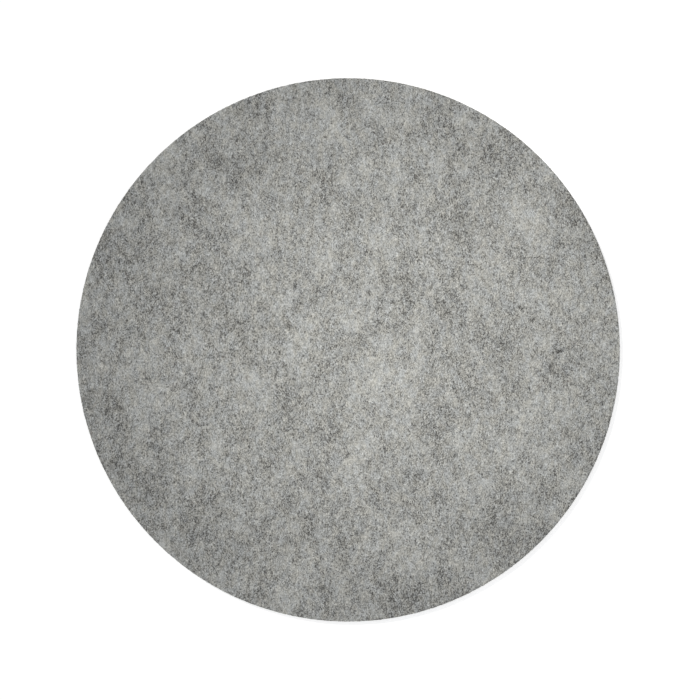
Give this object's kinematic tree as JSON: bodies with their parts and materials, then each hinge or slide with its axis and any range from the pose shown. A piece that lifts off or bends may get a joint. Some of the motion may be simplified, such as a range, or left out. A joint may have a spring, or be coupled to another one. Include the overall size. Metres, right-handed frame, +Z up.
{
  "type": "felt polishing pad",
  "caption": "Flat round grey wool felt pad with a self-adhesive back and a split paper release liner, for polishing stones on a flat lap plate.",
  "frame": {"origin": "middle of the release liner's underside, where the pad lies on a bench", "axes": "+Z up through the layers to the polishing face, +Y along the liner's slit"},
  "size_m": [0.2032, 0.2032, 0.0035],
  "materials": {
    "wool_felt": "pressed, fibrous, matt",
    "adhesive": "clear, tacky, glossy",
    "polyester_film": "clear, smooth, glossy",
    "liner_paper": "siliconised on the adhesive side, satin"
  },
  "bodies": {
    "pad": {"felt_disc": "wool_felt", "felt_side_adhesive": "adhesive", "carrier_film": "polyester_film", "plate_side_adhesive": "adhesive"},
    "liner_left": {"release_liner_left": "liner_paper"},
    "liner_right": {"release_liner_right": "liner_paper"}
  },
  "joints": [
    {"name": "liner_left_peel", "type": "slide", "parent": "pad", "child": "liner_left", "axis": [-1, 0, 0], "range_m": [0, 0.11]},
    {"name": "liner_right_peel", "type": "slide", "parent": "pad", "child": "liner_right", "axis": [1, 0, 0], "range_m": [0, 0.11]}
  ]
}
